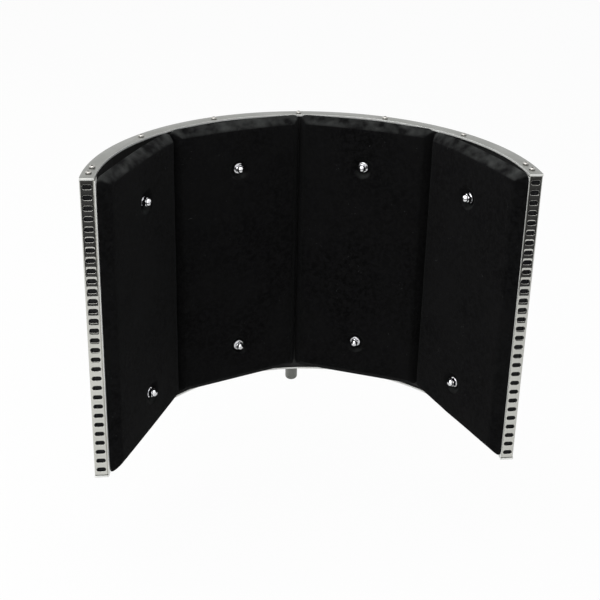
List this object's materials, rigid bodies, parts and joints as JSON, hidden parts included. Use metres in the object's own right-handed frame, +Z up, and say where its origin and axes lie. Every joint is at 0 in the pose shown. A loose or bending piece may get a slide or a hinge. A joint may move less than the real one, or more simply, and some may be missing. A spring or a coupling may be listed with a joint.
{
  "type": "microphone reflection filter",
  "caption": "Half round microphone reflection filter: slotted metal shell lined with black felt panels, on a rear post held by a stand clamp that slides and swivels.",
  "frame": {"origin": "on the axis of the microphone stand tube that the clamp grips, at the middle of the clamp block's height", "axes": "+X across the shell from its left end to its right end as seen from the open side, +Y from the open side to the back, +Z up along the stand tube"},
  "size_m": [0.415, 0.3662, 0.3415],
  "materials": {
    "felt": "black felt over foam",
    "board": "black hardboard",
    "stained_wood": "dark stained",
    "wool": "pressed acoustic wool with a thin foil facing",
    "punched": "punched sheet, satin",
    "satin": "satin",
    "polished": "mirror polished",
    "chrome": "bright plated",
    "anodised": "grey anodised",
    "nylon": "natural nylon",
    "rubber": "matt",
    "black_plastic": "moulded, fine texture"
  },
  "bodies": {
    "stand_clamp": {"clamp_block": "anodised", "pinch_bolt": "chrome"},
    "bush": {"post_bush": "nylon"},
    "filter": {"absorber_pad_1": "felt", "absorber_pad_2": "felt", "absorber_pad_3": "felt", "absorber_pad_4": "felt", "bottom_ring": "satin", "bracket_screw_1": "chrome", "bracket_screw_2": "chrome", "bracket_screw_3": "chrome", "bracket_screw_4": "chrome", "dome_nut_1": "chrome", "dome_nut_2": "chrome", "dome_nut_3": "chrome", "dome_nut_4": "chrome", "dome_nut_5": "chrome", "dome_nut_6": "chrome", "dome_nut_7": "chrome", "dome_nut_8": "chrome", "inner_skin": "punched", "left_end_rail": "polished", "lower_bracket": "anodised", "outer_skin": "punched", "panel_batten_1": "stained_wood", "panel_batten_2": "stained_wood", "panel_batten_3": "stained_wood", "panel_batten_4": "stained_wood", "panel_board_1": "board", "panel_board_2": "board", "panel_board_3": "board", "panel_board_4": "board", "panel_bolt_1": "chrome", "panel_bolt_2": "chrome", "panel_bolt_3": "chrome", "panel_bolt_4": "chrome", "panel_bolt_5": "chrome", "panel_bolt_6": "chrome", "panel_bolt_7": "chrome", "panel_bolt_8": "chrome", "rear_batten": "stained_wood", "rear_post": "satin", "right_end_rail": "polished", "tie_bolt_1": "chrome", "tie_bolt_2": "chrome", "tie_bolt_3": "chrome", "tie_bolt_4": "chrome", "tie_bolt_5": "chrome", "tie_bolt_6": "chrome", "tie_bolt_7": "chrome", "tie_bolt_8": "chrome", "tie_bolt_9": "chrome", "top_ring": "satin", "upper_bracket": "anodised", "wool_mat": "wool"},
    "lock_lever": {"lock_lever": "black_plastic"},
    "jaw": {"jaw_pad": "anodised", "jaw_face": "rubber"},
    "jaw_screw": {"jaw_screw": "chrome", "jaw_knob": "black_plastic"}
  },
  "joints": [
    {"name": "swivel", "type": "hinge", "parent": "stand_clamp", "child": "bush", "pos_m": [0, -0.05168, 0], "axis": [0, 0, 1], "range_deg": [-40, 40]},
    {"name": "height", "type": "slide", "parent": "bush", "child": "filter", "axis": [0, 0, 1], "range_m": [-0.08, 0.08]},
    {"name": "lever", "type": "hinge", "parent": "stand_clamp", "child": "lock_lever", "pos_m": [0.0151, -0.03268, 0], "axis": [1, 0, 0], "range_deg": [0, 110]},
    {"name": "jaw_slide", "type": "slide", "parent": "stand_clamp", "child": "jaw", "axis": [0, -1, 0], "range_m": [0, 0.02]},
    {"name": "screw_turn", "type": "hinge", "parent": "jaw", "child": "jaw_screw", "pos_m": [0, 0.04832, 0], "axis": [0, 1, 0], "range_deg": [0, 4800]}
  ],
  "couplings": [
    {"joint": "screw_turn", "follows": "jaw_slide", "rad_per_m": 4188.7}
  ]
}
